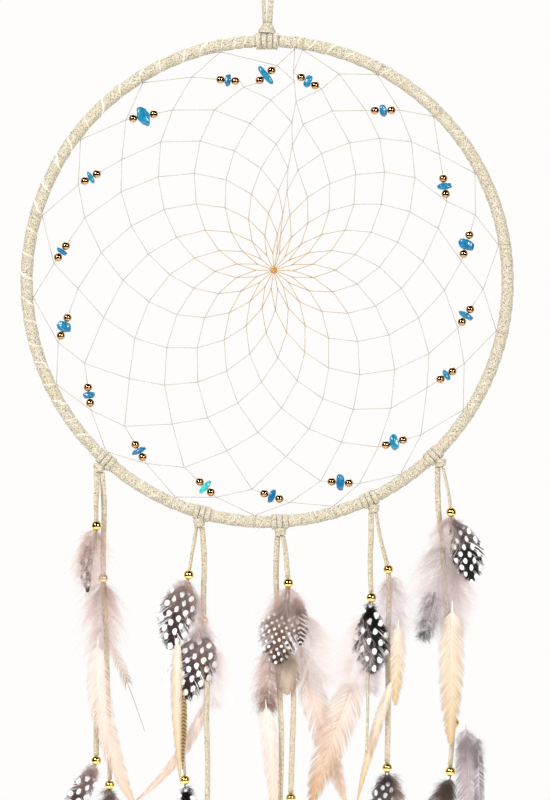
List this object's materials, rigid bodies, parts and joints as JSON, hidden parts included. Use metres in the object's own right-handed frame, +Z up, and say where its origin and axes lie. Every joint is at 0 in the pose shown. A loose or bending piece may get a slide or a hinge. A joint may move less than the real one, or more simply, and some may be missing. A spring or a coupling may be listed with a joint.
{
  "type": "dream catcher",
  "caption": "Hanging hoop wound in suede lace with a beaded thread web and five lace pendants of beads and feathers.",
  "frame": {"origin": "inner top of the hanging loop, where it bears on a nail", "axes": "+Z up along the hanging direction, the hoop lies in the X-Z plane, -Y is the front"},
  "size_m": [0.2314, 0.0141, 0.4732],
  "materials": {
    "suede": "napped suede lace",
    "steel_ring": "plain steel wire",
    "web_thread": "waxed nylon thread",
    "metal_beads": "polished antique gold",
    "turquoise": "tumbled and polished",
    "pink_down": "soft down",
    "brown_feather": "barred feather",
    "cream_feather": "stripped and combed feather",
    "guinea_feather": "black feather with white dots"
  },
  "bodies": {
    "hanger": {"hanging_loop": "suede"},
    "hitch": {"loop_hitch": "suede"},
    "hoop": {"hoop_ring": "steel_ring", "hoop_wrap": "suede", "web_thread": "web_thread", "web_beads": "metal_beads", "turquoise_chips": "turquoise", "outer_left_lashing": "suede", "inner_left_lashing": "suede", "middle_lashing": "suede", "inner_right_lashing": "suede", "outer_right_lashing": "suede"},
    "outer_left_strand": {"outer_left_long_beads": "metal_beads", "outer_left_long_feathers": "cream_feather", "outer_left_long_lace_1": "suede", "outer_left_long_lace_2": "suede", "outer_left_long_tuft": "pink_down", "outer_left_tail_feathers": "guinea_feather"},
    "outer_left_front": {"outer_left_front_beads": "metal_beads", "outer_left_front_lace": "suede", "outer_left_front_tuft": "pink_down"},
    "inner_left_strand": {"inner_left_long_beads": "metal_beads", "inner_left_long_feathers": "cream_feather", "inner_left_long_lace_1": "suede", "inner_left_long_lace_2": "suede", "inner_left_long_tuft": "guinea_feather", "inner_left_tail_feathers": "guinea_feather"},
    "inner_left_front": {"inner_left_front_beads": "metal_beads", "inner_left_front_hackle": "cream_feather", "inner_left_front_lace": "suede", "inner_left_front_tuft": "guinea_feather"},
    "middle_strand": {"middle_long_beads": "metal_beads", "middle_long_feathers": "cream_feather", "middle_long_lace_1": "suede", "middle_long_lace_2": "suede", "middle_long_tuft": "brown_feather", "middle_tail_feathers": "guinea_feather"},
    "middle_front": {"middle_front_beads": "metal_beads", "middle_front_lace": "suede", "middle_front_tuft": "brown_feather"},
    "inner_right_strand": {"inner_right_long_beads": "metal_beads", "inner_right_long_feathers": "cream_feather", "inner_right_long_lace": "suede", "inner_right_long_tuft": "pink_down", "inner_right_tail_feathers": "guinea_feather"},
    "inner_right_front": {"inner_right_front_beads": "metal_beads", "inner_right_front_feathers": "pink_down", "inner_right_front_lace_1": "suede", "inner_right_front_lace_2": "suede", "inner_right_front_tuft": "guinea_feather"},
    "outer_right_strand": {"outer_right_long_beads": "metal_beads", "outer_right_long_feathers": "cream_feather", "outer_right_long_lace": "suede", "outer_right_long_tuft": "pink_down", "outer_right_tail_feathers": "guinea_feather"},
    "outer_right_front": {"outer_right_front_beads": "metal_beads", "outer_right_front_lace": "suede", "outer_right_front_tuft": "brown_feather"}
  },
  "joints": [
    {"name": "hoop_turn", "type": "hinge", "parent": "hanger", "child": "hitch", "pos_m": [0, 0, -0.0438], "axis": [0, 0, 1], "range_deg": [-60, 60]},
    {"name": "hoop_swing", "type": "hinge", "parent": "hitch", "child": "hoop", "pos_m": [0, 0, -0.0529], "axis": [1, 0, 0], "range_deg": [-20, 20]},
    {"name": "outer_left_swing", "type": "hinge", "parent": "hoop", "child": "outer_left_strand", "pos_m": [-0.07876, 0, -0.25317], "axis": [1, 0, 0], "range_deg": [-20, 20]},
    {"name": "outer_left_front_lift", "type": "hinge", "parent": "outer_left_strand", "child": "outer_left_front", "pos_m": [-0.07876, 0, -0.25317], "axis": [1, 0, 0], "range_deg": [-20, 0]},
    {"name": "inner_left_swing", "type": "hinge", "parent": "hoop", "child": "inner_left_strand", "pos_m": [-0.03185, 0, -0.27901], "axis": [1, 0, 0], "range_deg": [-20, 20]},
    {"name": "inner_left_front_lift", "type": "hinge", "parent": "inner_left_strand", "child": "inner_left_front", "pos_m": [-0.03185, 0, -0.27901], "axis": [1, 0, 0], "range_deg": [-20, 0]},
    {"name": "middle_swing", "type": "hinge", "parent": "hoop", "child": "middle_strand", "pos_m": [0.00616, 0, -0.28324], "axis": [1, 0, 0], "range_deg": [-20, 20]},
    {"name": "middle_front_lift", "type": "hinge", "parent": "middle_strand", "child": "middle_front", "pos_m": [0.00616, 0, -0.28324], "axis": [1, 0, 0], "range_deg": [-20, 0]},
    {"name": "inner_right_swing", "type": "hinge", "parent": "hoop", "child": "inner_right_strand", "pos_m": [0.04993, 0, -0.27228], "axis": [1, 0, 0], "range_deg": [-20, 20]},
    {"name": "inner_right_front_lift", "type": "hinge", "parent": "inner_right_strand", "child": "inner_right_front", "pos_m": [0.04993, 0, -0.27228], "axis": [1, 0, 0], "range_deg": [-20, 0]},
    {"name": "outer_right_swing", "type": "hinge", "parent": "hoop", "child": "outer_right_strand", "pos_m": [0.08132, 0, -0.25079], "axis": [1, 0, 0], "range_deg": [-20, 20]},
    {"name": "outer_right_front_lift", "type": "hinge", "parent": "outer_right_strand", "child": "outer_right_front", "pos_m": [0.08132, 0, -0.25079], "axis": [1, 0, 0], "range_deg": [-20, 0]}
  ]
}
